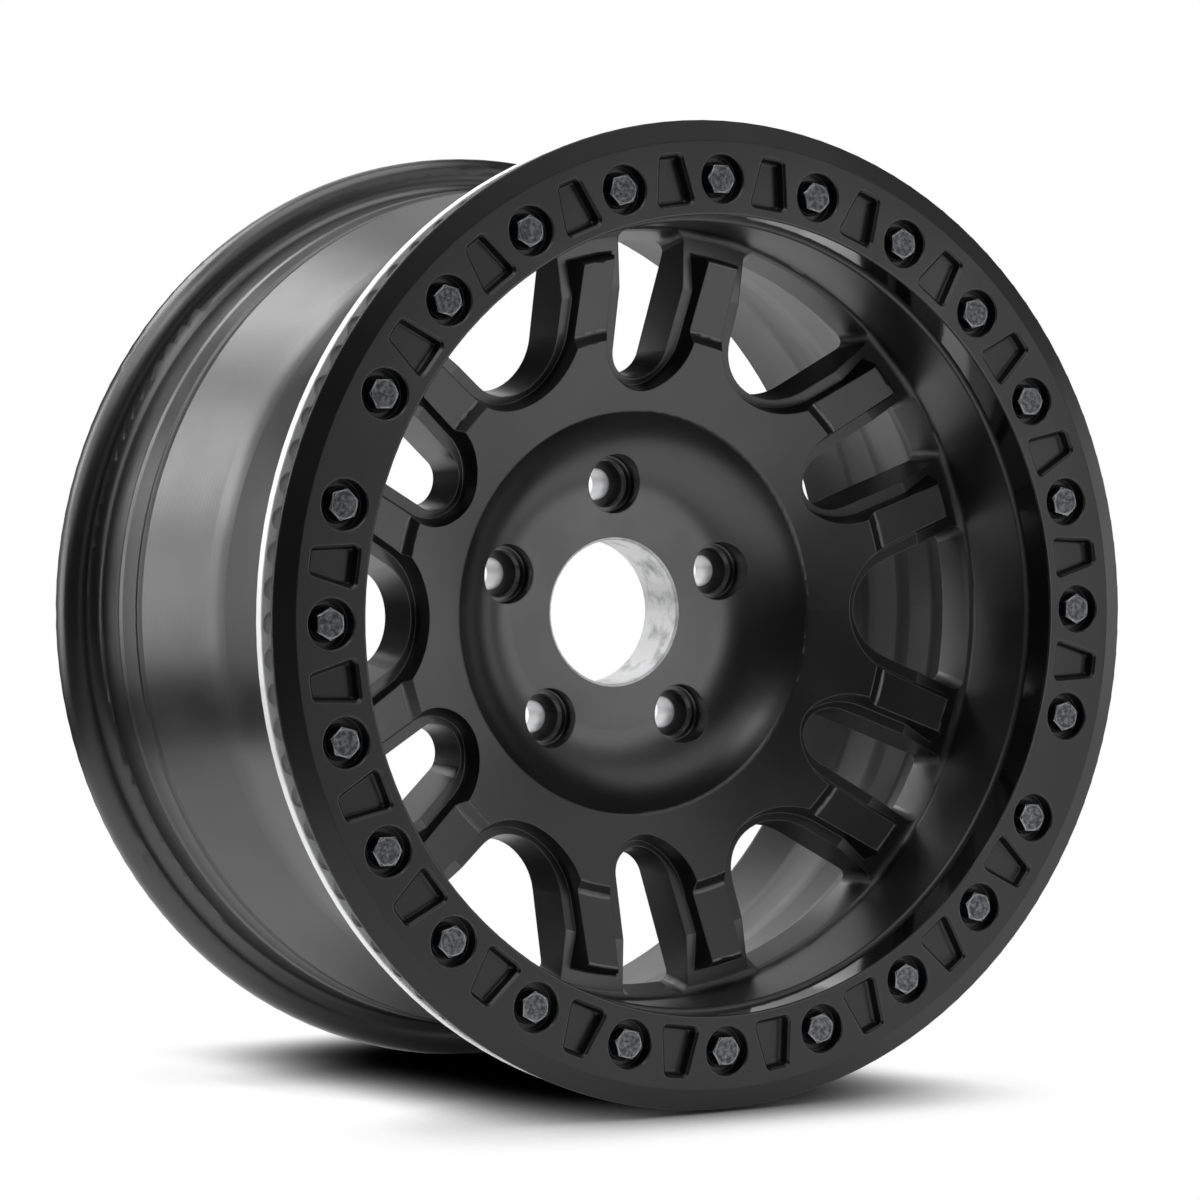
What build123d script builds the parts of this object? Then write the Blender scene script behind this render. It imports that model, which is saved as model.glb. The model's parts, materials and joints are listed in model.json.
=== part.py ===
"""Beadlock wheel for an off-road car, 17 x 9 inch: one cast wheel, a bolted clamp ring, its bolts and washers.

Millimetres. The wheel turns about Y and stands upright with Z up. The origin is the centre of the hub's
mounting face. -Y is the outboard side that faces the street, +Y goes inboard, towards the brake.
"""

import math
import os

from build123d import *

# Rim, from the 17 inch standard
BEAD_SEAT_R = 218.3
RIM_WIDTH = 228.6
RIM_OFFSET = 12.0  # the mounting face lies this far inboard of the rim's middle
FLANGE_HEIGHT = 17.2
FLANGE_CURVE = 9.5
FLANGE_LIP = 4.7  # from the flange curve's end to the rim's inboard end
FLANGE_LIP_HEIGHT = 8.5
HEEL_FILLET = 6.5
SEAT_WIDTH = 22.3
SEAT_TAPER = 5.0  # degrees
HUMP_HEIGHT = 0.9
HUMP_WIDTH = 5.0
SHELF_WIDTH = 13.6
SHELF_GROOVE_WIDTH = 7.6
SHELF_GROOVE_DEPTH = 0.8
SHELF_DROP = 0.9
WELL_R = 200.0
LEG_LENGTH = 56.0
LEG_BLEND = 60.0
BARREL_WALL = 7.0

# Outboard end, where the clamp ring is bolted on
RING_FACE_TO_HUB = 139.0
RING_THICKNESS = 18.0
LIP_R = 187.0
LIP_ROUND = 2.0
LIP_FLARE = 1.3
CLAMP_FLANGE_R = 232.5
CLAMP_FLANGE_LAND = 5.0
CLAMP_FLANGE_CHAMFER = 2.2
CLAMP_FLANGE_THICKNESS = 8.6
NECK_R = 216.0
NECK_LENGTH = 24.0
NECK_SLOPE = 8.0
GRIP_DIMPLES = 90
GRIP_DIMPLE_R = 5.9
GRIP_DIMPLE_DEPTH = 1.6
GRIP_CIRCLE_R = 225.4

# Clamp ring
RING_INNER_R = 189.0
RING_OUTER_R = 233.8
RING_BEVEL_WIDTH = 10.0
RING_BEVEL_DROP = 3.5
RING_LAND = 2.0
RING_EDGE_ROUND = 0.8
RING_POCKET_DEPTH = 6.0
RING_POCKET_CHAMFER = 1.2
RING_POCKET_FLOOR_ROUND = 1.5
RING_POCKET_INNER_R = 194.5
RING_POCKET_OUTER_R = 217.5
RING_POCKET_INNER_WIDTH = 19.0
RING_POCKET_OUTER_WIDTH = 11.0
RING_POCKET_CORNER = 2.2
RING_POCKET_DRAFT = 10.0  # degrees
BARE_GAPS = (8, 20)  # gaps between bolts that have no pocket, counted clockwise from the top bolt

# Ring bolts, M8 x 30 with a 13 mm hexagon
BOLT_COUNT = 24
BOLT_CIRCLE_R = 206.0
BOLT_SHANK_R = 4.0
BOLT_LENGTH = 30.0
BOLT_TIP_CHAMFER = 1.0
HEX_ACROSS_FLATS = 13.0
HEX_HEIGHT = 5.3
HEX_CHAMFER = 0.9
HEX_RECESS = 0.7
WASHER_R = 8.5
WASHER_THICKNESS = 1.6
COUNTERBORE_R = 11.5
COUNTERBORE_CHAMFER = 0.6
HOLE_CLEARANCE = 0.5
THREAD_CLEARANCE = 0.15
TAPPED_EXTRA = 2.5

# Hub
BORE_R = 35.75
BORE_CHAMFER = 1.0
BORE_BACK_CHAMFER = 3.5
HUB_THICKNESS = 34.5
HUB_FLAT_R = 58.0
PAD_R = 80.0
PAD_STEP = 1.5
HUB_BACK_R = 104.0
HUB_BACK_DEPTH = 29.0  # where the hub's back cone meets the spokes' backs
LUG_COUNT = 5
LUG_CIRCLE_R = 63.5
LUG_HOLE_R = 7.5
LUG_POCKET_R = 14.6
LUG_STEP_R = 11.6
LUG_SEAT_DEPTH = 15.0  # metal left under the tapered seat
LUG_SEAT_ANGLE = 30.0  # half angle, degrees
LUG_STEP_HEIGHT = 4.0
RELIEF_SWEEP = 26.0  # degrees
RELIEF_WIDTH = 17.0
RELIEF_DEPTH = 11.0

# Spoke face
FACE_INNER_R = 98.5
FACE_INNER_DEPTH = 57.2  # outboard of the mounting face
FACE_SLOPE = 0.40
FACE_EDGE_ROUND = 3.0
FACE_OUTER_R = 134.2
SPOKE_DROP = 4.4  # the spokes' fronts lie this far inboard of the face's cone
SPOKE_STEP = 5.2  # radial run of the slope down to the spokes' fronts
SPOKE_STEP_FILLET = 3.5
SPOKE_OUTER_R = 175.2
SPOKE_END_ROUND = 2.5
CHANNEL_DEPTH = 72.0  # floor beside the lip, outboard of the mounting face
CHANNEL_FILLET = 4.0
BACK_SLOPE = 0.37
BACK_CORNER_R = 186.0
BACK_FILLET = 10.0
BARREL_RAMP = 28.0

# Windows between the spokes
WINDOW_PAIRS = 6
NARROW_INNER_R = 108.3
NARROW_ROUND = 20.6
NARROW_FLARE = 5.5  # half angle, degrees
WIDE_INNER_R = 118.8
WIDE_ROUND = 32.5
WIDE_FLARE = 26.0
MOUTH_DRAFT = 22.0  # degrees, from the face down to the ledge
LEDGE_DEPTH = 9.5
LEDGE_WIDTH = 2.8
THROUGH_DRAFT = 9.5  # degrees, from the ledge to the back
WINDOW_OUTER_R = 186.5  # at the channel floor
WINDOW_OUTER_DRAFT = 15.0  # degrees
WINDOW_CORNER = 5.0
VALVE_HOLE_R = 5.75
VALVE_FROM_HUB = 82.5
VALVE_ANGLE = 180.0

REACH = 20.0  # how far a cutting tool runs past the metal

# Places worked out from the sizes above
ring_face = -RING_FACE_TO_HUB
land_face = ring_face + RING_THICKNESS
bead_face = RIM_WIDTH / 2 - RIM_OFFSET
flange_r = BEAD_SEAT_R + FLANGE_HEIGHT
rim_end = bead_face + FLANGE_CURVE + FLANGE_LIP
counterbore_depth = HEX_RECESS + HEX_HEIGHT + WASHER_THICKNESS
bolt_seat = ring_face + HEX_RECESS + HEX_HEIGHT
tapped_end = bolt_seat + BOLT_LENGTH + TAPPED_EXTRA
bolt_pitch = 360 / BOLT_COUNT
window_pitch = 360 / WINDOW_PAIRS


def face_y(radius):
    """Place of the conical spoke face at a radius."""
    return -FACE_INNER_DEPTH - FACE_SLOPE * (radius - FACE_INNER_R)


def back_y(radius):
    """Place of the spokes' conical backs at a radius."""
    return -HUB_BACK_DEPTH - BACK_SLOPE * (radius - HUB_BACK_R)


def turned(corners):
    """Solid turned about the wheel's axis from corners of (radius, y, fillet)."""
    points = [(radius, y) for radius, y, _ in corners]
    fillets = [fillet_r for _, _, fillet_r in corners]
    outline = FilletPolyline(*points, radius=fillets, close=True)
    return revolve(make_face(outline), Axis.Y)


def axial_prism(sketch, start, end):
    """Prism of a sketch drawn in X and Z, from y = start to y = end."""
    plane = Plane((0, end, 0), x_dir=(1, 0, 0), z_dir=(0, -1, 0))
    return extrude(plane * sketch, end - start)


def round_y(angle):
    """Turn about the wheel's axis, in degrees from +X towards +Z."""
    return Rot(0, -angle, 0)


def axial_cylinder(radius, start, end):
    """Cylinder along the wheel's axis from y = start to y = end."""
    return axial_prism(Circle(radius), start, end)


def wheel_blank():
    """The wheel's section turned through a full circle: hub, disc, lip, barrel and flanges."""
    seat_end = bead_face - SEAT_WIDTH
    seat_end_r = BEAD_SEAT_R - SEAT_WIDTH * math.tan(math.radians(SEAT_TAPER))
    hump_end = seat_end - HUMP_WIDTH
    shelf_end = hump_end - SHELF_WIDTH
    shelf_r = seat_end_r - SHELF_DROP
    groove_r = shelf_r - SHELF_GROOVE_DEPTH
    leg_top = shelf_end - SHELF_GROOVE_WIDTH
    well_start = leg_top - LEG_LENGTH
    neck_end = land_face + NECK_LENGTH
    chamfer_start = land_face + CLAMP_FLANGE_LAND
    chamfer_r = CLAMP_FLANGE_R - CLAMP_FLANGE_CHAMFER
    flange_back = land_face + CLAMP_FLANGE_THICKNESS
    floor_y = -CHANNEL_DEPTH
    back_corner = back_y(BACK_CORNER_R)
    barrel_r = WELL_R - BARREL_WALL
    tail_r = shelf_r - BARREL_WALL
    lip_end_r = flange_r - FLANGE_LIP_HEIGHT
    spoke_inner_r = FACE_OUTER_R + SPOKE_STEP
    hub_front = -HUB_THICKNESS
    bowl_rise = FACE_INNER_DEPTH - HUB_THICKNESS
    bowl_run = FACE_INNER_R - HUB_FLAT_R
    # A corner half way along the flat and the rise makes the bowl's fillet one tangent arc.
    bowl_arm = math.hypot(bowl_run, bowl_rise) / (2 * math.cos(math.atan2(bowl_rise, bowl_run)))
    bowl_turn = 2 * math.atan2(bowl_rise, bowl_run)
    bowl_fillet = 0.98 * bowl_arm / math.tan(bowl_turn / 2)
    corners = [
        (BORE_R, -BORE_BACK_CHAMFER, 0),
        (BORE_R, hub_front + BORE_CHAMFER, 0),
        (BORE_R + BORE_CHAMFER, hub_front, 0),
        (HUB_FLAT_R + bowl_arm, hub_front, bowl_fillet),
        (FACE_INNER_R, face_y(FACE_INNER_R), FACE_EDGE_ROUND),
        (FACE_OUTER_R, face_y(FACE_OUTER_R), 0.8),
        (spoke_inner_r, face_y(spoke_inner_r) + SPOKE_DROP, SPOKE_STEP_FILLET),
        (SPOKE_OUTER_R, face_y(SPOKE_OUTER_R) + SPOKE_DROP, SPOKE_END_ROUND),
        (SPOKE_OUTER_R, floor_y, 2.0),
        (LIP_R + LIP_FLARE, floor_y, CHANNEL_FILLET),
        (LIP_R, land_face, LIP_ROUND),
        (CLAMP_FLANGE_R, land_face, 0.6),
        (CLAMP_FLANGE_R, chamfer_start, 0),
        (chamfer_r, flange_back, 1.0),
        (NECK_R, flange_back, 4.0),
        (NECK_R, neck_end, 5.0),
        (WELL_R, neck_end + NECK_SLOPE, 8.0),
        (WELL_R, well_start, LEG_BLEND),
        (shelf_r, leg_top, 1.5),
        (groove_r, leg_top + 1, 0),
        (groove_r, shelf_end - 1, 0),
        (shelf_r, shelf_end, 0),
        (seat_end_r, hump_end, 0),
        (seat_end_r + HUMP_HEIGHT, seat_end - HUMP_WIDTH / 2, 2.0),
        (seat_end_r, seat_end, 0),
        (BEAD_SEAT_R, bead_face, HEEL_FILLET),
        (flange_r, bead_face, FLANGE_CURVE),
        (flange_r, rim_end, 2.4),
        (lip_end_r, rim_end, 1.5),
        (tail_r + 3, rim_end - FLANGE_CURVE, 9.0),
        (tail_r, leg_top, 40.0),
        (barrel_r, well_start, LEG_BLEND),
        (barrel_r, back_corner + BARREL_RAMP, 20.0),
        (BACK_CORNER_R, back_corner, BACK_FILLET),
        (HUB_BACK_R, -HUB_BACK_DEPTH, 12.0),
        (PAD_R, -PAD_STEP, 1.0),
        (PAD_R, 0, 0.5),
        (BORE_R + BORE_BACK_CHAMFER, 0, 0),
    ]
    return turned(corners)


def window_prism(inner_r, round_r, flare, draft, depth, start, end):
    """Drafted prism about +X with a round inner end and two straight sides that open outwards.

    Its outline has the given sizes where it crosses the cone that lies depth below the spoke face.
    """
    shrink = math.tan(math.radians(draft))
    middle = inner_r + round_r
    end_r = round_r + shrink * (face_y(inner_r) + depth - start)
    tilt = math.atan(math.tan(math.radians(flare)) - FACE_SLOPE * shrink)
    tangent_x = middle - end_r * math.sin(tilt)
    tangent_z = end_r * math.cos(tilt)
    far_x = CLAMP_FLANGE_R
    far_z = tangent_z + (far_x - tangent_x) * math.tan(tilt)
    sides = Polyline((tangent_x, tangent_z), (far_x, far_z), (far_x, -far_z), (tangent_x, -tangent_z))
    inner_end = ThreePointArc((tangent_x, -tangent_z), (middle - end_r, 0), (tangent_x, tangent_z))
    outline = make_face([*sides.edges(), inner_end])
    plane = Plane((0, start, 0), x_dir=(1, 0, 0), z_dir=(0, -1, 0))
    return extrude(plane * outline, start - end, taper=draft)


def window_cutters(inner_r, round_r, flare):
    """Front cutter down to the ledge and the narrower cutter that goes through the disc."""
    front = face_y(SPOKE_OUTER_R)
    back = -HUB_BACK_DEPTH / 2
    start_r = HUB_FLAT_R
    floor_y = -CHANNEL_DEPTH
    ledge_end_r = LIP_R - CHANNEL_FILLET
    # Towards the rim the ledge runs out into the channel's floor.
    ledge_turn_r = FACE_INNER_R + (CHANNEL_DEPTH + LEDGE_DEPTH - FACE_INNER_DEPTH) / FACE_SLOPE
    above_ledge = turned(
        [
            (start_r, front, 0),
            (ledge_end_r, front, 0),
            (ledge_end_r, floor_y, 0),
            (ledge_turn_r, floor_y, 0),
            (start_r, face_y(start_r) + LEDGE_DEPTH, 0),
        ]
    )
    upper = window_prism(inner_r, round_r, flare, MOUTH_DRAFT, 0, front, back) & above_ledge
    through_start = floor_y - CHANNEL_FILLET / 2
    rim_draft = math.tan(math.radians(WINDOW_OUTER_DRAFT))
    inside_rim = turned(
        [
            (start_r, through_start, 0),
            (WINDOW_OUTER_R + rim_draft * (floor_y - through_start), through_start, 0),
            (WINDOW_OUTER_R + rim_draft * (floor_y - back), back, 0),
            (start_r, back, 0),
        ]
    )
    inset = LEDGE_DEPTH * math.tan(math.radians(MOUTH_DRAFT)) + LEDGE_WIDTH
    through = window_prism(
        inner_r + inset, round_r - inset, flare, THROUGH_DRAFT, LEDGE_DEPTH, through_start, back
    )
    lower = through & inside_rim
    rim_corners = lower.edges().filter_by(
        lambda edge: abs((edge @ 1 - edge @ 0).Y) > (back - through_start) / 2
        and min((edge @ 0).X, (edge @ 1).X) > FACE_OUTER_R
    )
    return upper, fillet(rim_corners, WINDOW_CORNER)


def lug_cutter():
    """Stepped pocket, tapered seat and through hole of one wheel stud, about the Y axis."""
    seat_end = -LUG_SEAT_DEPTH
    seat_length = (LUG_STEP_R - LUG_HOLE_R) / math.tan(math.radians(LUG_SEAT_ANGLE))
    step = seat_end - seat_length - LUG_STEP_HEIGHT
    front = -FACE_INNER_DEPTH - REACH
    corners = [
        (0, front, 0),
        (LUG_POCKET_R, front, 0),
        (LUG_POCKET_R, step, 1.2),
        (LUG_STEP_R, step, 0),
        (LUG_STEP_R, seat_end - seat_length, 0),
        (LUG_HOLE_R, seat_end, 0),
        (LUG_HOLE_R, REACH, 0),
        (0, REACH, 0),
    ]
    return turned(corners)


def make_wheel():
    """The cast wheel with its windows, stud holes, tapped ring holes, grip dimples and valve hole."""
    cutters = []
    kinds = (
        (window_pitch / 2, NARROW_INNER_R, NARROW_ROUND, NARROW_FLARE),
        (0, WIDE_INNER_R, WIDE_ROUND, WIDE_FLARE),
    )
    for first, inner_r, round_r, flare in kinds:
        for cutter in window_cutters(inner_r, round_r, flare):
            cutters += [round_y(first + window_pitch * k) * cutter for k in range(WINDOW_PAIRS)]
    lug = Pos(LUG_CIRCLE_R, 0, 0) * lug_cutter()
    relief_half = RELIEF_SWEEP / 2
    relief_arc = CenterArc((0, 0), LUG_CIRCLE_R, -relief_half, RELIEF_SWEEP)
    relief = axial_prism(SlotArc(relief_arc, RELIEF_WIDTH), -RELIEF_DEPTH, REACH)
    lug_pitch = 360 / LUG_COUNT
    for k in range(LUG_COUNT):
        cutters.append(round_y(90 + lug_pitch * k) * lug)
        cutters.append(round_y(90 + lug_pitch * (k + 0.5)) * relief)
    tapped = Pos(BOLT_CIRCLE_R, 0, 0) * axial_cylinder(BOLT_SHANK_R + THREAD_CLEARANCE, ring_face, tapped_end)
    cutters += [round_y(90 + bolt_pitch * k) * tapped for k in range(BOLT_COUNT)]
    dimple_end = land_face + GRIP_DIMPLE_DEPTH
    dimple = Pos(GRIP_CIRCLE_R, 0, 0) * axial_cylinder(GRIP_DIMPLE_R, ring_face, dimple_end)
    cutters += [round_y(360 / GRIP_DIMPLES * k) * dimple for k in range(GRIP_DIMPLES)]
    valve_middle = (LIP_R + WELL_R) / 2
    valve = Pos(valve_middle, -VALVE_FROM_HUB, 0) * Rot(0, 90, 0) * Cylinder(VALVE_HOLE_R, NECK_R - LIP_R)
    cutters.append(round_y(VALVE_ANGLE) * valve)
    return wheel_blank() - cutters


def pocket_cutter():
    """Trapezoid pocket of the ring's face about +X, with a chamfered mouth and drafted walls."""
    inner_half = RING_POCKET_INNER_WIDTH / 2
    outer_half = RING_POCKET_OUTER_WIDTH / 2
    shape = Polygon(
        (RING_POCKET_INNER_R, -inner_half),
        (RING_POCKET_OUTER_R, -outer_half),
        (RING_POCKET_OUTER_R, outer_half),
        (RING_POCKET_INNER_R, inner_half),
        align=None,
    )
    shape = fillet(shape.vertices(), RING_POCKET_CORNER)
    plane = Plane((0, ring_face + RING_POCKET_CHAMFER, 0), x_dir=(1, 0, 0), z_dir=(0, -1, 0))
    well = extrude(plane * shape, RING_POCKET_CHAMFER - RING_POCKET_DEPTH, taper=RING_POCKET_DRAFT)
    floor = well.faces().sort_by(Axis.Y)[-1]
    mouth = extrude(plane * shape, RING_POCKET_CHAMFER, taper=-45)
    return fillet(floor.edges(), RING_POCKET_FLOOR_ROUND) + mouth


def make_ring():
    """The clamp ring: a bevelled outer lip that grips the tyre's bead, counterbores and pockets."""
    lip_back = ring_face + RING_BEVEL_DROP + RING_LAND
    bevel_start = RING_OUTER_R - RING_BEVEL_WIDTH
    ring = turned(
        [
            (RING_INNER_R, ring_face, RING_EDGE_ROUND),
            (bevel_start, ring_face, RING_EDGE_ROUND),
            (RING_OUTER_R, ring_face + RING_BEVEL_DROP, RING_EDGE_ROUND),
            (RING_OUTER_R, lip_back, RING_EDGE_ROUND),
            (BEAD_SEAT_R, lip_back, RING_EDGE_ROUND),
            (BEAD_SEAT_R, land_face, RING_EDGE_ROUND),
            (RING_INNER_R, land_face, 0),
        ]
    )
    floor_y = ring_face + counterbore_depth
    chamfer_end = ring_face + COUNTERBORE_CHAMFER
    hole_r = BOLT_SHANK_R + HOLE_CLEARANCE
    bolt_hole = Pos(BOLT_CIRCLE_R, 0, 0) * turned(
        [
            (0, ring_face, 0),
            (COUNTERBORE_R + COUNTERBORE_CHAMFER, ring_face, 0),
            (COUNTERBORE_R, chamfer_end, 0),
            (COUNTERBORE_R, floor_y, 0),
            (hole_r, floor_y, 0),
            (hole_r, land_face, 0),
            (0, land_face, 0),
        ]
    )
    cutters = [round_y(90 + bolt_pitch * k) * bolt_hole for k in range(BOLT_COUNT)]
    pocket = pocket_cutter()
    for gap in range(1, BOLT_COUNT + 1):
        if gap not in BARE_GAPS:
            cutters.append(round_y(90 - bolt_pitch * (gap - 0.5)) * pocket)
    return ring - cutters


def make_bolt():
    """One hexagon bolt about the Y axis, its head outboard."""
    head_front = ring_face + HEX_RECESS
    corner_r = HEX_ACROSS_FLATS / math.sqrt(3)
    flat_r = HEX_ACROSS_FLATS / 2
    hexagon = axial_prism(RegularPolygon(corner_r, 6, rotation=30), head_front, bolt_seat)
    crown = turned(
        [
            (0, head_front, 0),
            (flat_r - 0.3, head_front, 0),
            (corner_r + 1, head_front + HEX_CHAMFER, 0),
            (corner_r + 1, bolt_seat, 0),
            (0, bolt_seat, 0),
        ]
    )
    tip = bolt_seat + BOLT_LENGTH
    shank = turned(
        [
            (0, bolt_seat, 0),
            (BOLT_SHANK_R, bolt_seat, 0),
            (BOLT_SHANK_R, tip - BOLT_TIP_CHAMFER, 0),
            (BOLT_SHANK_R - BOLT_TIP_CHAMFER, tip, 0),
            (0, tip, 0),
        ]
    )
    return (hexagon & crown) + shank


def make_washer():
    """One flat washer under a bolt's head, about the Y axis."""
    ring = Circle(WASHER_R) - Circle(BOLT_SHANK_R + HOLE_CLEARANCE)
    return axial_prism(ring, bolt_seat, bolt_seat + WASHER_THICKNESS)


def on_bolt_circle(piece):
    """The piece repeated at each ring bolt, as one group of separate solids."""
    out = Pos(BOLT_CIRCLE_R, 0, 0) * piece
    return Compound(children=[round_y(90 + bolt_pitch * k) * out for k in range(BOLT_COUNT)])


os.makedirs("parts", exist_ok=True)
export_step(make_wheel(), "parts/wheel.step")
export_step(make_ring(), "parts/beadlock_ring.step")
export_step(on_bolt_circle(make_bolt()), "parts/ring_bolts.step")
export_step(on_bolt_circle(make_washer()), "parts/ring_washers.step")
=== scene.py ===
"""Beadlock wheel in a small photo studio: finishes for the cast wheel, its clamp ring, bolts and washers.

Metres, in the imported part's own frame: the wheel's axis is Y, the street side is -Y and Z is up.
"""

from __future__ import annotations

import json
import logging
import math
from dataclasses import dataclass, field
from enum import Enum

import bmesh
import bpy
from mathutils import Euler, Matrix, Vector

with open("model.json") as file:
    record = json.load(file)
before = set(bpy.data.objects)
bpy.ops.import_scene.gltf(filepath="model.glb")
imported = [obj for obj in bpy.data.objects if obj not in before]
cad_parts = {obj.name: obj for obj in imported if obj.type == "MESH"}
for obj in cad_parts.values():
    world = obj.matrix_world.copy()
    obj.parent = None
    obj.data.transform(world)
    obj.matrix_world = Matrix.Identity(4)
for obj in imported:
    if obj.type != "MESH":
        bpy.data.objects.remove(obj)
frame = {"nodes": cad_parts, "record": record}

log = logging.getLogger("beadlock_wheel")

Span = tuple[float, float]

MM = 0.001
EDGE_SAMPLES = 4  # rays that round an edge in the shading
WAVE_LENGTH = 2 * math.pi / 20  # length of one band of a wave texture whose scale is 1


class Side(Enum):
    """Which side of a limit a mask is on."""

    BELOW = "below"
    ABOVE = "above"


def linear(hex_colour: str) -> tuple[float, float, float, float]:
    """Turn an sRGB hex colour into linear RGBA.

    Args:
        hex_colour: Six hex digits with a leading hash.

    Returns:
        Linear red, green and blue, and an alpha of 1.
    """
    parts = [int(hex_colour[i : i + 2], 16) / 255 for i in (1, 3, 5)]
    light = [p / 12.92 if p <= 0.04045 else ((p + 0.055) / 1.055) ** 2.4 for p in parts]
    return (light[0], light[1], light[2], 1.0)


def add(
    tree: bpy.types.NodeTree, kind: str, inputs: dict[str | int, object] | None = None, **settings: object
) -> bpy.types.Node:
    """Add one node, set it up and link it.

    Args:
        tree: Node tree that takes the node.
        kind: Blender's name of the node's type.
        inputs: Values or sockets by the input's name or number.
        settings: Properties of the node itself.

    Returns:
        The new node.
    """
    node = tree.nodes.new(kind)
    for name, value in settings.items():
        setattr(node, name, value)
    for name, value in (inputs or {}).items():
        if isinstance(value, bpy.types.NodeSocket):
            tree.links.new(value, node.inputs[name])
        else:
            node.inputs[name].default_value = value
    return node


def new_material(name: str) -> tuple[bpy.types.Material, bpy.types.NodeTree]:
    """Start an empty node material.

    Args:
        name: The finish's name.

    Returns:
        The material and its empty node tree.
    """
    material = bpy.data.materials.new(name)
    material.use_nodes = True
    material.node_tree.nodes.clear()
    return material, material.node_tree


def dress_node(node: str, material: bpy.types.Material) -> None:
    """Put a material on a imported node.

    Args:
        node: The node's name.
        material: Its finish.
    """
    piece = frame["nodes"][node]
    for slot in piece.material_slots:
        slot.material = material
    log.info("%s dressed in %s", node, material.name)


def mount_sizes(name: str) -> dict[str, float]:
    """Look up a mount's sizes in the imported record.

    Args:
        name: The mount's name.

    Returns:
        Its sizes, in millimetres.
    """
    return next(mount["dims"] for mount in frame["record"]["mounts"] if mount["name"] == name)


def limit_mask(
    tree: bpy.types.NodeTree, value: bpy.types.NodeSocket, limit: float, side: Side, soft: float = 0.15 * MM
) -> bpy.types.NodeSocket:
    """Make a mask that is 1 on one side of a limit.

    Args:
        tree: Node tree that takes the mask.
        value: Socket that is compared with the limit.
        limit: Place of the mask's edge.
        side: Side that gets 1.
        soft: Half of the edge's width.

    Returns:
        The mask's socket.
    """
    low, high = (limit - soft, limit + soft) if side is Side.ABOVE else (limit + soft, limit - soft)
    mask = add(tree, "ShaderNodeMapRange", {"Value": value, "From Min": low, "From Max": high})
    return mask.outputs["Result"]


def edge_share(tree: bpy.types.NodeTree, edge: bpy.types.NodeSocket, turn: Span) -> bpy.types.NodeSocket:
    """Mark the edges, where the rounded normal turns away from the face's own.

    Args:
        tree: Node tree that takes the mask.
        edge: The rounded normal.
        turn: Dot products of both normals at which the edge begins and at which the mask is 1.

    Returns:
        The mask's socket.
    """
    straight = add(tree, "ShaderNodeNewGeometry").outputs["Normal"]
    product = add(tree, "ShaderNodeVectorMath", {0: edge, 1: straight}, operation="DOT_PRODUCT")
    reach = {"Value": product.outputs["Value"], "From Min": turn[0], "From Max": turn[1]}
    return add(tree, "ShaderNodeMapRange", reach).outputs["Result"]


@dataclass(frozen=True)
class Places:
    """Sockets that say where on the wheel a point is."""

    point: bpy.types.NodeSocket
    flat: bpy.types.NodeSocket
    radius: bpy.types.NodeSocket
    along: bpy.types.NodeSocket

    @classmethod
    def of(cls, tree: bpy.types.NodeTree) -> Places:
        """Read object coordinates in a node tree.

        Args:
            tree: Node tree that takes the nodes.

        Returns:
            The point, the point flattened along the axis, its radius and its place along the axis.
        """
        point = add(tree, "ShaderNodeTexCoord").outputs["Object"]
        off_axis = {0: point, 1: (1.0, 0.0, 1.0)}
        flat = add(tree, "ShaderNodeVectorMath", off_axis, operation="MULTIPLY").outputs["Vector"]
        radius = add(tree, "ShaderNodeVectorMath", {0: flat}, operation="LENGTH").outputs["Value"]
        along = add(tree, "ShaderNodeSeparateXYZ", {0: point}).outputs["Y"]
        return cls(point, flat, radius, along)


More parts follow.
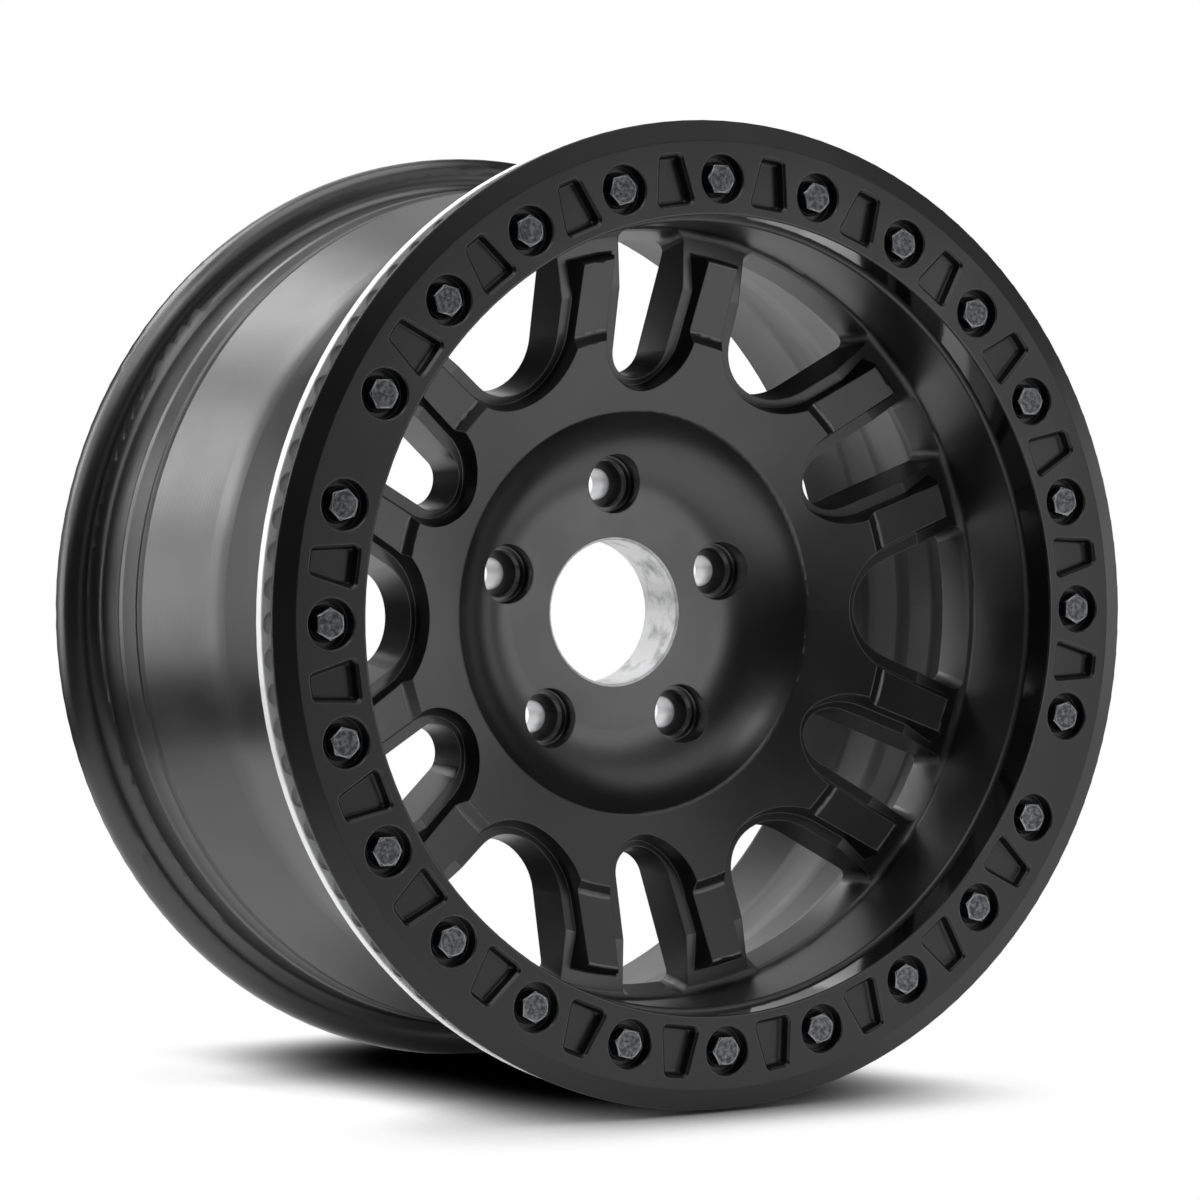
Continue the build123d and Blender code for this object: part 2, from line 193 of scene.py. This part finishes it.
@dataclass(frozen=True)
class PowderCoat:
    """Satin black powder coat on cast aluminium.

    The cured powder flows into a fine orange peel, so the eye gets broad soft highlights and a faint grain.
    """

    name: str
    colour: str = "#0d0d0e"
    ior: float = 1.8
    roughness: float = 0.32
    roughness_spread: float = 0.04
    peel_mm: float = 1.7  # real peel is about 0.6 mm; drawn coarser so that it shows in the render
    peel_height_mm: float = 0.02
    peel_detail: float = 2.0
    peel_fineness: float = 0.55
    cloud_mm: float = 45.0
    cloud_detail: float = 3.0
    cloud_span: Span = (0.3, 0.7)
    edge_mm: float = 0.8
    # painted highlight: the coat's edges are drawn in this lighter colour
    edge_highlight_colour: str = "#5a5b5d"
    edge_turn: Span = (0.97, 0.8)

    def gloss(self, tree: bpy.types.NodeTree, places: Places) -> bpy.types.NodeSocket:
        """Let the gloss change slowly over the surface.

        Args:
            tree: The material's node tree.
            places: Where a point is.

        Returns:
            The coat's roughness.
        """
        slow = {"Vector": places.point, "Scale": 1 / (self.cloud_mm * MM), "Detail": self.cloud_detail}
        cloud = add(tree, "ShaderNodeTexNoise", slow).outputs[0]
        spread = {
            "Value": cloud,
            "From Min": self.cloud_span[0],
            "From Max": self.cloud_span[1],
            "To Min": self.roughness - self.roughness_spread,
            "To Max": self.roughness + self.roughness_spread,
        }
        return add(tree, "ShaderNodeMapRange", spread).outputs["Result"]

    def peel(
        self, tree: bpy.types.NodeTree, places: Places, edge: bpy.types.NodeSocket
    ) -> bpy.types.NodeSocket:
        """Raise the orange peel on the rounded surface.

        Args:
            tree: The material's node tree.
            places: Where a point is.
            edge: The rounded normal.

        Returns:
            The normal with the peel.
        """
        grain = {
            "Vector": places.point,
            "Scale": 1 / (self.peel_mm * MM),
            "Detail": self.peel_detail,
            "Roughness": self.peel_fineness,
        }
        height = add(tree, "ShaderNodeTexNoise", grain).outputs[0]
        raised = {"Strength": 1.0, "Distance": self.peel_height_mm * MM, "Height": height, "Normal": edge}
        return add(tree, "ShaderNodeBump", raised).outputs[0]

    def tint(self, tree: bpy.types.NodeTree, edge: bpy.types.NodeSocket) -> bpy.types.NodeSocket:
        """Colour the coat, with a painted highlight along its edges.

        Args:
            tree: The material's node tree.
            edge: The rounded normal.

        Returns:
            The coat's colour.
        """
        # painted highlight: the lighter colour goes where the rounded normal turns at an edge
        share = edge_share(tree, edge, self.edge_turn)
        mix = {0: share, 6: linear(self.colour), 7: linear(self.edge_highlight_colour)}
        return add(tree, "ShaderNodeMix", mix, data_type="RGBA").outputs[2]


@dataclass(frozen=True)
class MachinedAluminium:
    """Bare aluminium left by a lathe tool: bright, with fine lines round the axis and grey smudges."""

    colour: str = "#eeeeef"
    smudge_colour: str = "#8e8f91"
    smudge_mm: float = 16.0
    smudge_detail: float = 4.0
    smudge_fineness: float = 0.6
    smudge_span: Span = (0.5, 0.72)
    smudge_outside: float = 0.15  # share of the smudges outside the bore
    roughness: float = 0.48
    metallic: float = 0.4  # the oxide skin on bare aluminium scatters more than half of the light
    line_mm: float = 0.9  # a finishing cut leaves about 0.2 mm; drawn coarser so that it shows in the render
    line_height_mm: float = 0.03
    line_detail: float = 1.0

    def tint(
        self, tree: bpy.types.NodeTree, places: Places, in_bore: bpy.types.NodeSocket
    ) -> bpy.types.NodeSocket:
        """Colour the metal, with smudges that are plain in the bore and faint elsewhere.

        Args:
            tree: The material's node tree.
            places: Where a point is.
            in_bore: Mask of the centre bore.

        Returns:
            The metal's colour.
        """
        blotch = {
            "Vector": places.point,
            "Scale": 1 / (self.smudge_mm * MM),
            "Detail": self.smudge_detail,
            "Roughness": self.smudge_fineness,
        }
        smudge = add(tree, "ShaderNodeTexNoise", blotch).outputs[0]
        span = {"Value": smudge, "From Min": self.smudge_span[0], "From Max": self.smudge_span[1]}
        share = add(tree, "ShaderNodeMapRange", span).outputs["Result"]
        outside = {"Value": in_bore, "To Min": self.smudge_outside}
        strength = add(tree, "ShaderNodeMapRange", outside).outputs["Result"]
        smudged = add(tree, "ShaderNodeMath", {0: share, 1: strength}, operation="MULTIPLY").outputs[0]
        mix = {0: smudged, 6: linear(self.colour), 7: linear(self.smudge_colour)}
        return add(tree, "ShaderNodeMix", mix, data_type="RGBA").outputs[2]

    def tool_lines(
        self,
        tree: bpy.types.NodeTree,
        places: Places,
        bare: bpy.types.NodeSocket,
        normal: bpy.types.NodeSocket,
    ) -> bpy.types.NodeSocket:
        """Cut the lathe tool's lines round the axis.

        Args:
            tree: The material's node tree.
            places: Where a point is.
            bare: Mask of the machined places.
            normal: Normal that the lines are cut into.

        Returns:
            The normal with the lines.
        """
        sum_of = {0: places.radius, 1: places.along}
        where = add(tree, "ShaderNodeMath", sum_of, operation="ADD").outputs[0]
        cut = {"W": where, "Scale": 1 / (self.line_mm * MM), "Detail": self.line_detail}
        lines = add(tree, "ShaderNodeTexNoise", cut, noise_dimensions="1D").outputs[0]
        turned = add(tree, "ShaderNodeMath", {0: lines, 1: bare}, operation="MULTIPLY").outputs[0]
        raised = {"Strength": 1.0, "Distance": self.line_height_mm * MM, "Height": turned, "Normal": normal}
        return add(tree, "ShaderNodeBump", raised).outputs[0]


@dataclass
class CastWheel:
    """The cast wheel: coated all over and machined bare where it meets the hub, the nuts and the tyre."""

    node: str = "wheel"
    bore_margin: float = 1.15 * MM  # takes in the bore's front chamfer
    pad_r: float = 80.6 * MM
    pad_depth: float = 0.4 * MM
    first_lug: float = 90.0  # degrees, so that one hole is at the top
    lug_margin: float = 0.4 * MM  # keeps the mask's edge off the hole's wall
    lug_seat_start: float = -17.0 * MM
    flange_inner_r: float = 218.0 * MM
    flange_back: float = -112.2 * MM
    barrel_inner_r: float = 198.5 * MM
    lip_inner_r: float = 183.5 * MM
    lip_end: float = -70.0 * MM
    lip_roughness: float = 0.45
    ridge_mm: float = 2.4  # a roughing cut leaves about 0.6 mm; drawn coarser so that it shows in the render
    ridge_height_mm: float = 0.012
    coat: PowderCoat = field(default_factory=lambda: PowderCoat("satin_black_powder_coat"))
    bare: MachinedAluminium = field(default_factory=MachinedAluminium)

    def bore_mask(self, tree: bpy.types.NodeTree, places: Places) -> bpy.types.NodeSocket:
        """Mark the centre bore.

        Args:
            tree: The material's node tree.
            places: Where a point is.

        Returns:
            A mask that is 1 in the bore.
        """
        radius = mount_sizes("centre_bore")["r_mm"] * MM + self.bore_margin
        return limit_mask(tree, places.radius, radius, Side.BELOW)

    def lug_gap(self, tree: bpy.types.NodeTree, places: Places) -> bpy.types.NodeSocket:
        """Measure how far a point is from the nearest stud hole's axis.

        Args:
            tree: The material's node tree.
            places: Where a point is.

        Returns:
            The distance.
        """
        lugs = mount_sizes("lug_holes")
        count = int(lugs["count"])
        circle_r = lugs["pcd_mm"] * MM / 2
        nearest = None
        for k in range(count):
            angle = math.radians(self.first_lug + 360 / count * k)
            middle = (circle_r * math.cos(angle), 0.0, circle_r * math.sin(angle))
            away = add(tree, "ShaderNodeVectorMath", {0: places.flat, 1: middle}, operation="DISTANCE")
            gap = away.outputs["Value"]
            if nearest is None:
                nearest = gap
            else:
                nearest = add(tree, "ShaderNodeMath", {0: nearest, 1: gap}, operation="MINIMUM").outputs[0]
        return nearest

    def bare_mask(
        self, tree: bpy.types.NodeTree, places: Places, in_bore: bpy.types.NodeSocket
    ) -> bpy.types.NodeSocket:
        """Mark the machined places: bore, mounting pad, stud holes and clamp flange.

        Args:
            tree: The material's node tree.
            places: Where a point is.
            in_bore: Mask of the centre bore.

        Returns:
            A mask that is 1 on bare metal.
        """
        on_pad = limit_mask(tree, places.along, -self.pad_depth, Side.ABOVE)
        in_pad = limit_mask(tree, places.radius, self.pad_r, Side.BELOW)
        lug_r = mount_sizes("lug_holes")["hole_r_mm"] * MM + self.lug_margin
        in_seat = limit_mask(tree, self.lug_gap(tree, places), lug_r, Side.BELOW)
        below_seat = limit_mask(tree, places.along, self.lug_seat_start, Side.ABOVE)
        in_flange = limit_mask(tree, places.radius, self.flange_inner_r, Side.ABOVE)
        at_flange = limit_mask(tree, places.along, self.flange_back, Side.BELOW)
        mask = in_bore
        for one, two in ((on_pad, in_pad), (in_seat, below_seat), (in_flange, at_flange)):
            both = add(tree, "ShaderNodeMath", {0: one, 1: two}, operation="MULTIPLY").outputs[0]
            mask = add(tree, "ShaderNodeMath", {0: mask, 1: both}, operation="MAXIMUM").outputs[0]
        return mask

    def lip_mask(self, tree: bpy.types.NodeTree, places: Places) -> bpy.types.NodeSocket:
        """Mark the lip between the channel and the clamp ring.

        Args:
            tree: The material's node tree.
            places: Where a point is.

        Returns:
            A mask that is 1 on the lip.
        """
        mask = limit_mask(tree, places.along, self.lip_end, Side.BELOW)
        for side_mask in (
            limit_mask(tree, places.radius, self.lip_inner_r, Side.ABOVE),
            limit_mask(tree, places.radius, self.barrel_inner_r, Side.BELOW),
        ):
            mask = add(tree, "ShaderNodeMath", {0: mask, 1: side_mask}, operation="MULTIPLY").outputs[0]
        return mask

    def ridges(
        self, tree: bpy.types.NodeTree, places: Places, normal: bpy.types.NodeSocket
    ) -> bpy.types.NodeSocket:
        """Turn faint ridges on the outside of the barrel.

        Args:
            tree: The material's node tree.
            places: Where a point is.
            normal: Normal that the ridges are raised on.

        Returns:
            The normal with the ridges.
        """
        on_barrel = limit_mask(tree, places.radius, self.barrel_inner_r, Side.ABOVE)
        bands = {"Vector": places.point, "Scale": WAVE_LENGTH / (self.ridge_mm * MM), "Distortion": 0.0}
        wave = add(tree, "ShaderNodeTexWave", bands, wave_type="BANDS", bands_direction="Y").outputs["Fac"]
        ridge = add(tree, "ShaderNodeMath", {0: wave, 1: on_barrel}, operation="MULTIPLY").outputs[0]
        raised = {"Strength": 1.0, "Distance": self.ridge_height_mm * MM, "Height": ridge, "Normal": normal}
        return add(tree, "ShaderNodeBump", raised).outputs[0]

    def dress(self) -> None:
        """Give the casting its coat and its bare places."""
        material, tree = new_material(self.coat.name)
        places = Places.of(tree)
        in_bore = self.bore_mask(tree, places)
        bare = self.bare_mask(tree, places, in_bore)
        rounding = {"Radius": self.coat.edge_mm * MM}
        edge = add(tree, "ShaderNodeBevel", rounding, samples=EDGE_SAMPLES).outputs[0]
        metal = self.bare.tint(tree, places, in_bore)
        tints = {0: bare, 6: self.coat.tint(tree, edge), 7: metal}
        colour = add(tree, "ShaderNodeMix", tints, data_type="RGBA").outputs[2]
        on_lip = {0: self.lip_mask(tree, places), 2: self.coat.gloss(tree, places), 3: self.lip_roughness}
        coat_rough = add(tree, "ShaderNodeMix", on_lip, data_type="FLOAT").outputs[0]
        on_bare = {0: bare, 2: coat_rough, 3: self.bare.roughness}
        roughness = add(tree, "ShaderNodeMix", on_bare, data_type="FLOAT").outputs[0]
        share = {0: bare, 1: self.bare.metallic}
        metallic = add(tree, "ShaderNodeMath", share, operation="MULTIPLY").outputs[0]
        ridged = self.ridges(tree, places, self.coat.peel(tree, places, edge))
        shader = add(
            tree,
            "ShaderNodeBsdfPrincipled",
            {
                "Base Color": colour,
                "Metallic": metallic,
                "Roughness": roughness,
                "IOR": self.coat.ior,
                "Normal": self.bare.tool_lines(tree, places, bare, ridged),
            },
        )
        add(tree, "ShaderNodeOutputMaterial", {"Surface": shader.outputs[0]})
        dress_node(self.node, material)


@dataclass
class ClampRing:
    """The bolted clamp ring: a darker coat on its face and a smooth bore."""

    node: str = "beadlock_ring"
    bore_r: float = 190.0 * MM
    bore_roughness: float = 0.09
    # painted highlight along the ring's edges, in its lighter edge colour
    coat: PowderCoat = field(
        default_factory=lambda: PowderCoat("black_ring_coat", ior=1.5, roughness=0.33, edge_highlight_colour="#6a6b6d")
    )

    def dress(self) -> None:
        """Give the ring its coat."""
        material, tree = new_material(self.coat.name)
        places = Places.of(tree)
        in_bore = limit_mask(tree, places.radius, self.bore_r, Side.BELOW)
        smoothed = {0: in_bore, 2: self.coat.gloss(tree, places), 3: self.bore_roughness}
        rounding = {"Radius": self.coat.edge_mm * MM}
        edge = add(tree, "ShaderNodeBevel", rounding, samples=EDGE_SAMPLES).outputs[0]
        shader = add(
            tree,
            "ShaderNodeBsdfPrincipled",
            {
                "Base Color": self.coat.tint(tree, edge),
                "Roughness": add(tree, "ShaderNodeMix", smoothed, data_type="FLOAT").outputs[0],
                "IOR": self.coat.ior,
                "Normal": self.coat.peel(tree, places, edge),
            },
        )
        add(tree, "ShaderNodeOutputMaterial", {"Surface": shader.outputs[0]})
        dress_node(self.node, material)


@dataclass(frozen=True)
class OxidedSteel:
    """Steel with a mottled black oxide: dark grey metal with painted highlights along its edges."""

    name: str
    colour: str
    mottle_colour: str
    # painted highlight: colour drawn along the edges
    highlight_colour: str
    roughness: float = 0.42
    mottle_mm: float = 2.2
    mottle_height_mm: float = 0.05
    mottle_detail: float = 5.0
    mottle_fineness: float = 0.65
    mottle_span: Span = (0.42, 0.66)
    edge_mm: float = 1.0
    edge_turn: Span = (0.995, 0.95)

    def make(self) -> bpy.types.Material:
        """Build the material.

        Returns:
            The finished material.
        """
        material, tree = new_material(self.name)
        spots = {
            "Vector": Places.of(tree).point,
            "Scale": 1 / (self.mottle_mm * MM),
            "Detail": self.mottle_detail,
            "Roughness": self.mottle_fineness,
        }
        mottle = add(tree, "ShaderNodeTexNoise", spots).outputs[0]
        span = {"Value": mottle, "From Min": self.mottle_span[0], "From Max": self.mottle_span[1]}
        share = add(tree, "ShaderNodeMapRange", span).outputs["Result"]
        edge = add(tree, "ShaderNodeBevel", {"Radius": self.edge_mm * MM}, samples=EDGE_SAMPLES).outputs[0]
        # painted highlight along the edges
        edge_highlight = edge_share(tree, edge, self.edge_turn)
        mottled = {0: share, 6: linear(self.colour), 7: linear(self.mottle_colour)}
        oxide = add(tree, "ShaderNodeMix", mottled, data_type="RGBA").outputs[2]
        highlighted = {0: edge_highlight, 6: oxide, 7: linear(self.highlight_colour)}
        raised = {"Strength": 1.0, "Distance": self.mottle_height_mm * MM, "Height": mottle, "Normal": edge}
        shader = add(
            tree,
            "ShaderNodeBsdfPrincipled",
            {
                "Base Color": add(tree, "ShaderNodeMix", highlighted, data_type="RGBA").outputs[2],
                "Metallic": 1.0,
                "Roughness": self.roughness,
                "Normal": add(tree, "ShaderNodeBump", raised).outputs[0],
            },
        )
        add(tree, "ShaderNodeOutputMaterial", {"Surface": shader.outputs[0]})
        return material


@dataclass
class RingFasteners:
    """The ring's bolts and their washers."""

    bolts: str = "ring_bolts"
    washers: str = "ring_washers"
    # the last colour of each finish is its painted edge highlight
    bolt_finish: OxidedSteel = field(
        default_factory=lambda: OxidedSteel("oxided_bolt_steel", "#414245", "#77787b", "#dcdddf")
    )
    washer_finish: OxidedSteel = field(
        default_factory=lambda: OxidedSteel("oxided_washer_steel", "#151516", "#262627", "#5a5b5d")
    )

    def dress(self) -> None:
        """Give the bolts and the washers their steel."""
        dress_node(self.bolts, self.bolt_finish.make())
        dress_node(self.washers, self.washer_finish.make())


@dataclass(frozen=True)
class Softbox:
    """One rectangular studio lamp."""

    name: str
    place: tuple[float, float, float]
    size: tuple[float, float]
    radiance: float
    aim: tuple[float, float, float] = (0.0, -0.05, 0.0)

    def hang(self) -> None:
        """Make the lamp and point it."""
        lamp = bpy.data.lights.new(self.name, "AREA")
        lamp.shape = "RECTANGLE"
        lamp.size, lamp.size_y = self.size
        # A flat lamp gives off pi times its radiance and its area.
        lamp.energy = self.radiance * math.pi * self.size[0] * self.size[1]
        holder = bpy.data.objects.new(self.name, lamp)
        holder.visible_camera = False
        bpy.context.scene.collection.objects.link(holder)
        way = Vector(self.aim) - Vector(self.place)
        turn = way.to_track_quat("-Z", "Y").to_matrix().to_4x4()
        holder.matrix_world = Matrix.Translation(self.place) @ turn
        log.info("lamp %s hung", self.name)


@dataclass
class Studio:
    """White floor, pale surroundings and soft lamps.

    The contact shadow is a soft patch painted on the floor under the wheel, by the floor point's place. Each
    of its spans gives where the patch starts to fade
    and where it ends: to both sides of the wheel's middle, towards the street side and towards the back.
    """

    floor_z: float = -235.5 * MM  # the wheel stands on its rear flange's edge
    floor_middle: tuple[float, float] = (0.4, 0.0)
    floor_r: float = 0.95
    floor_segments: int = 96
    floor_colour: str = "#f2f2f2"
    shadow_reach: float = 0.07
    shadow_samples: int = 6
    contact_skew: float = 0.12  # how far the patch leans to the side for each metre along the wheel's axis
    contact_shift: float = -0.0106
    contact_side: Span = (0.0156, 0.1448)
    contact_front: Span = (0.0189, 0.1912)
    contact_back: Span = (0.1128, 0.2335)
    contact_power: float = 4.0
    backdrop_way: tuple[float, float, float] = (0.497, 0.868, 0.0)  # behind the wheel in the photograph
    backdrop_edge: Span = (0.85, 0.92)  # cosines at which the pale backdrop starts and is full
    backdrop_level: float = 0.6
    room_level: float = 0.03
    ambient: float = 0.4
    boxes: tuple[Softbox, ...] = (
        Softbox("right_front", (0.75, -1.3, 0.06), (0.6, 0.58), 2.1),
        Softbox("right", (1.45, -0.39, 0.06), (1.0, 0.58), 1.4),
        Softbox("right_front_high", (0.95, -0.95, 0.66), (1.3, 0.6), 0.42),
        Softbox("front_high", (0.17, -0.95, 1.15), (1.9, 0.6), 0.85),
        Softbox("overhead", (0.0, 0.0, 1.5), (1.0, 1.0), 2.0),
        Softbox("back", (0.38, 1.3, 0.6), (0.6, 0.6), 1.0),
        Softbox("back_high", (0.17, 0.95, 1.15), (0.64, 0.6), 0.9),
        Softbox("barrel_side", (-0.6, 0.57, 0.1), (0.35, 0.5), 0.7, (-0.2, -0.1, 0.0)),
        Softbox("back_left_high", (-0.48, 0.84, 1.15), (0.64, 0.6), 4.6),
        Softbox("back_left", (-1.03, 0.87, 0.66), (0.47, 0.6), 4.6),
        Softbox("left_front_high", (-0.69, -0.62, 1.18), (0.5, 0.5), 3.0),
        Softbox("left_high", (-0.96, 0.0, 1.15), (1.2, 0.6), 2.3),
        Softbox("left", (-1.33, 0.23, 0.66), (0.8, 0.6), 1.2),
        Softbox("left_low", (-1.32, 0.7, 0.06), (0.8, 0.58), 2.4),
    )

    def build_floor(self) -> None:
        """Make the round floor: matt white paint that shows plain white, with the wheel's near shadow and a
        painted contact shadow on it.
        """
        shape = bmesh.new()
        bmesh.ops.create_circle(shape, cap_ends=True, segments=self.floor_segments, radius=self.floor_r)
        bmesh.ops.translate(shape, vec=(*self.floor_middle, self.floor_z), verts=shape.verts)
        mesh = bpy.data.meshes.new("floor")
        shape.to_mesh(mesh)
        shape.free()
        floor = bpy.data.objects.new("floor", mesh)
        bpy.context.scene.collection.objects.link(floor)
        material, tree = new_material("white_floor")
        lit = add(tree, "ShaderNodeBsdfDiffuse", {"Color": linear(self.floor_colour)}).outputs[0]
        glow = add(tree, "ShaderNodeEmission", {"Strength": self.open_sky(tree)}).outputs[0]
        mix = add(tree, "ShaderNodeMixShader", {0: self.background_share(tree), 1: lit, 2: glow})
        add(tree, "ShaderNodeOutputMaterial", {"Surface": mix.outputs[0]})
        mesh.materials.append(material)
        log.info("floor laid")

    def open_sky(self, tree: bpy.types.NodeTree) -> bpy.types.NodeSocket:
        """Find how open the floor is: the wheel's near shadow, deepened by a painted contact shadow beneath
        it.

        Args:
            tree: The floor's node tree.

        Returns:
            A socket that is 1 on open floor and 0 where the wheel stands on it.
        """
        reach = {"Distance": self.shadow_reach}
        near = add(tree, "ShaderNodeAmbientOcclusion", reach, samples=self.shadow_samples).outputs["AO"]
        mirrored = add(tree, "ShaderNodeLightPath").outputs["Is Glossy Ray"]
        either = {0: self.contact_light(tree), 1: mirrored}
        soft = add(tree, "ShaderNodeMath", either, operation="MAXIMUM").outputs[0]
        return add(tree, "ShaderNodeMath", {0: near, 1: soft}, operation="MULTIPLY").outputs[0]

    def contact_light(self, tree: bpy.types.NodeTree) -> bpy.types.NodeSocket:
        """Find how much light the painted contact shadow leaves.

        Args:
            tree: The floor's node tree.

        Returns:
            A socket that is 0 in the middle of the patch and 1 outside it.
        """
        # painted shadow: its darkness is drawn from the floor point's place, not cast by the wheel
        spot = add(tree, "ShaderNodeTexCoord").outputs["Object"]
        point = add(tree, "ShaderNodeSeparateXYZ", {0: spot})
        back = point.outputs["Y"]
        slant = {0: back, 1: self.contact_skew, 2: point.outputs["X"]}
        skewed = add(tree, "ShaderNodeMath", slant, operation="MULTIPLY_ADD").outputs[0]
        shifted = {0: skewed, 1: self.contact_shift}
        centred = add(tree, "ShaderNodeMath", shifted, operation="ADD").outputs[0]
        aside = add(tree, "ShaderNodeMath", {0: centred}, operation="ABSOLUTE").outputs[0]
        ahead = add(tree, "ShaderNodeMath", {0: back, 1: -1.0}, operation="MULTIPLY").outputs[0]
        covered = None
        for value, (low, high) in (
            (aside, self.contact_side),
            (ahead, self.contact_front),
            (back, self.contact_back),
        ):
            fall = {"Value": value, "From Min": low, "From Max": high, "To Min": 1.0, "To Max": 0.0}
            share = add(tree, "ShaderNodeMapRange", fall, interpolation_type="SMOOTHSTEP").outputs["Result"]
            if covered is None:
                covered = share
            else:
                covered = add(tree, "ShaderNodeMath", {0: covered, 1: share}, operation="MULTIPLY").outputs[0]
        clear = add(tree, "ShaderNodeMath", {0: 1.0, 1: covered}, operation="SUBTRACT").outputs[0]
        return add(tree, "ShaderNodeMath", {0: clear, 1: self.contact_power}, operation="POWER").outputs[0]

    @staticmethod
    def background_share(tree: bpy.types.NodeTree) -> bpy.types.NodeSocket:
        """Tell rays that see the background from rays that carry light.

        Args:
            tree: Node tree that takes the nodes.

        Returns:
            A socket that is 1 for camera, glossy and transmission rays.
        """
        path = add(tree, "ShaderNodeLightPath")
        direct = {0: path.outputs["Is Camera Ray"], 1: path.outputs["Is Glossy Ray"]}
        seen = add(tree, "ShaderNodeMath", direct, operation="MAXIMUM").outputs[0]
        through = {0: seen, 1: path.outputs["Is Transmission Ray"]}
        return add(tree, "ShaderNodeMath", through, operation="MAXIMUM").outputs[0]

    def build_world(self) -> None:
        """Make the surroundings: white in view, dim as light, dark with a pale backdrop in the gloss."""
        world = bpy.data.worlds.new("studio")
        bpy.context.scene.world = world
        world.use_nodes = True
        tree = world.node_tree
        tree.nodes.clear()
        path = add(tree, "ShaderNodeLightPath")
        way = add(tree, "ShaderNodeTexCoord").outputs["Generated"]
        ahead = add(tree, "ShaderNodeVectorMath", {0: way, 1: self.backdrop_way}, operation="DOT_PRODUCT")
        cone = {
            "Value": ahead.outputs["Value"],
            "From Min": self.backdrop_edge[0],
            "From Max": self.backdrop_edge[1],
            "To Min": self.room_level,
            "To Max": self.backdrop_level,
        }
        room = add(tree, "ShaderNodeMapRange", cone, interpolation_type="SMOOTHSTEP").outputs["Result"]
        gloss = {0: path.outputs["Is Glossy Ray"], 1: path.outputs["Is Transmission Ray"]}
        mirrored = add(tree, "ShaderNodeMath", gloss, operation="MAXIMUM").outputs[0]
        levels = {0: mirrored, 2: self.ambient, 3: room}
        level = add(tree, "ShaderNodeMix", levels, data_type="FLOAT").outputs[0]
        in_view = {0: level, 1: path.outputs["Is Camera Ray"]}
        strength = add(tree, "ShaderNodeMath", in_view, operation="MAXIMUM").outputs[0]
        glow = add(tree, "ShaderNodeBackground", {"Color": linear("#ffffff"), "Strength": strength})
        add(tree, "ShaderNodeOutputWorld", {"Surface": glow.outputs[0]})

    def set_up(self) -> None:
        """Build the whole studio."""
        self.build_world()
        self.build_floor()
        for box in self.boxes:
            box.hang()


@dataclass(frozen=True)
class PhotoCamera:
    """The camera at the photograph's viewing angle, in metres, degrees and millimetres of lens."""

    place: tuple[float, float, float] = (-0.97928, -1.73087, 0.04022)
    pitch: float = 88.998
    turn: float = -29.785
    lean: float = 0.40  # turn of the whole camera about the wheel's axis
    lens: float = 118.74
    sensor: float = 36.0

    def set_up(self) -> None:
        """Make the camera and use it."""
        data = bpy.data.cameras.new("photo_camera")
        data.lens = self.lens
        data.sensor_width = self.sensor
        camera = bpy.data.objects.new("photo_camera", data)
        bpy.context.scene.collection.objects.link(camera)
        look = Euler((math.radians(self.pitch), 0.0, math.radians(self.turn))).to_matrix().to_4x4()
        roll = Matrix.Rotation(math.radians(self.lean), 4, "Y")
        camera.matrix_world = roll @ Matrix.Translation(self.place) @ look
        bpy.context.scene.camera = camera


def main() -> None:
    """Set up the camera, dress every piece and build the studio."""
    logging.basicConfig(level=logging.INFO, format="%(name)s: %(message)s")
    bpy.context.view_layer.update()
    PhotoCamera().set_up()
    CastWheel().dress()
    ClampRing().dress()
    RingFasteners().dress()
    Studio().set_up()
    bpy.context.scene.view_settings.view_transform = "Standard"


if __name__ == "__main__":
    main()
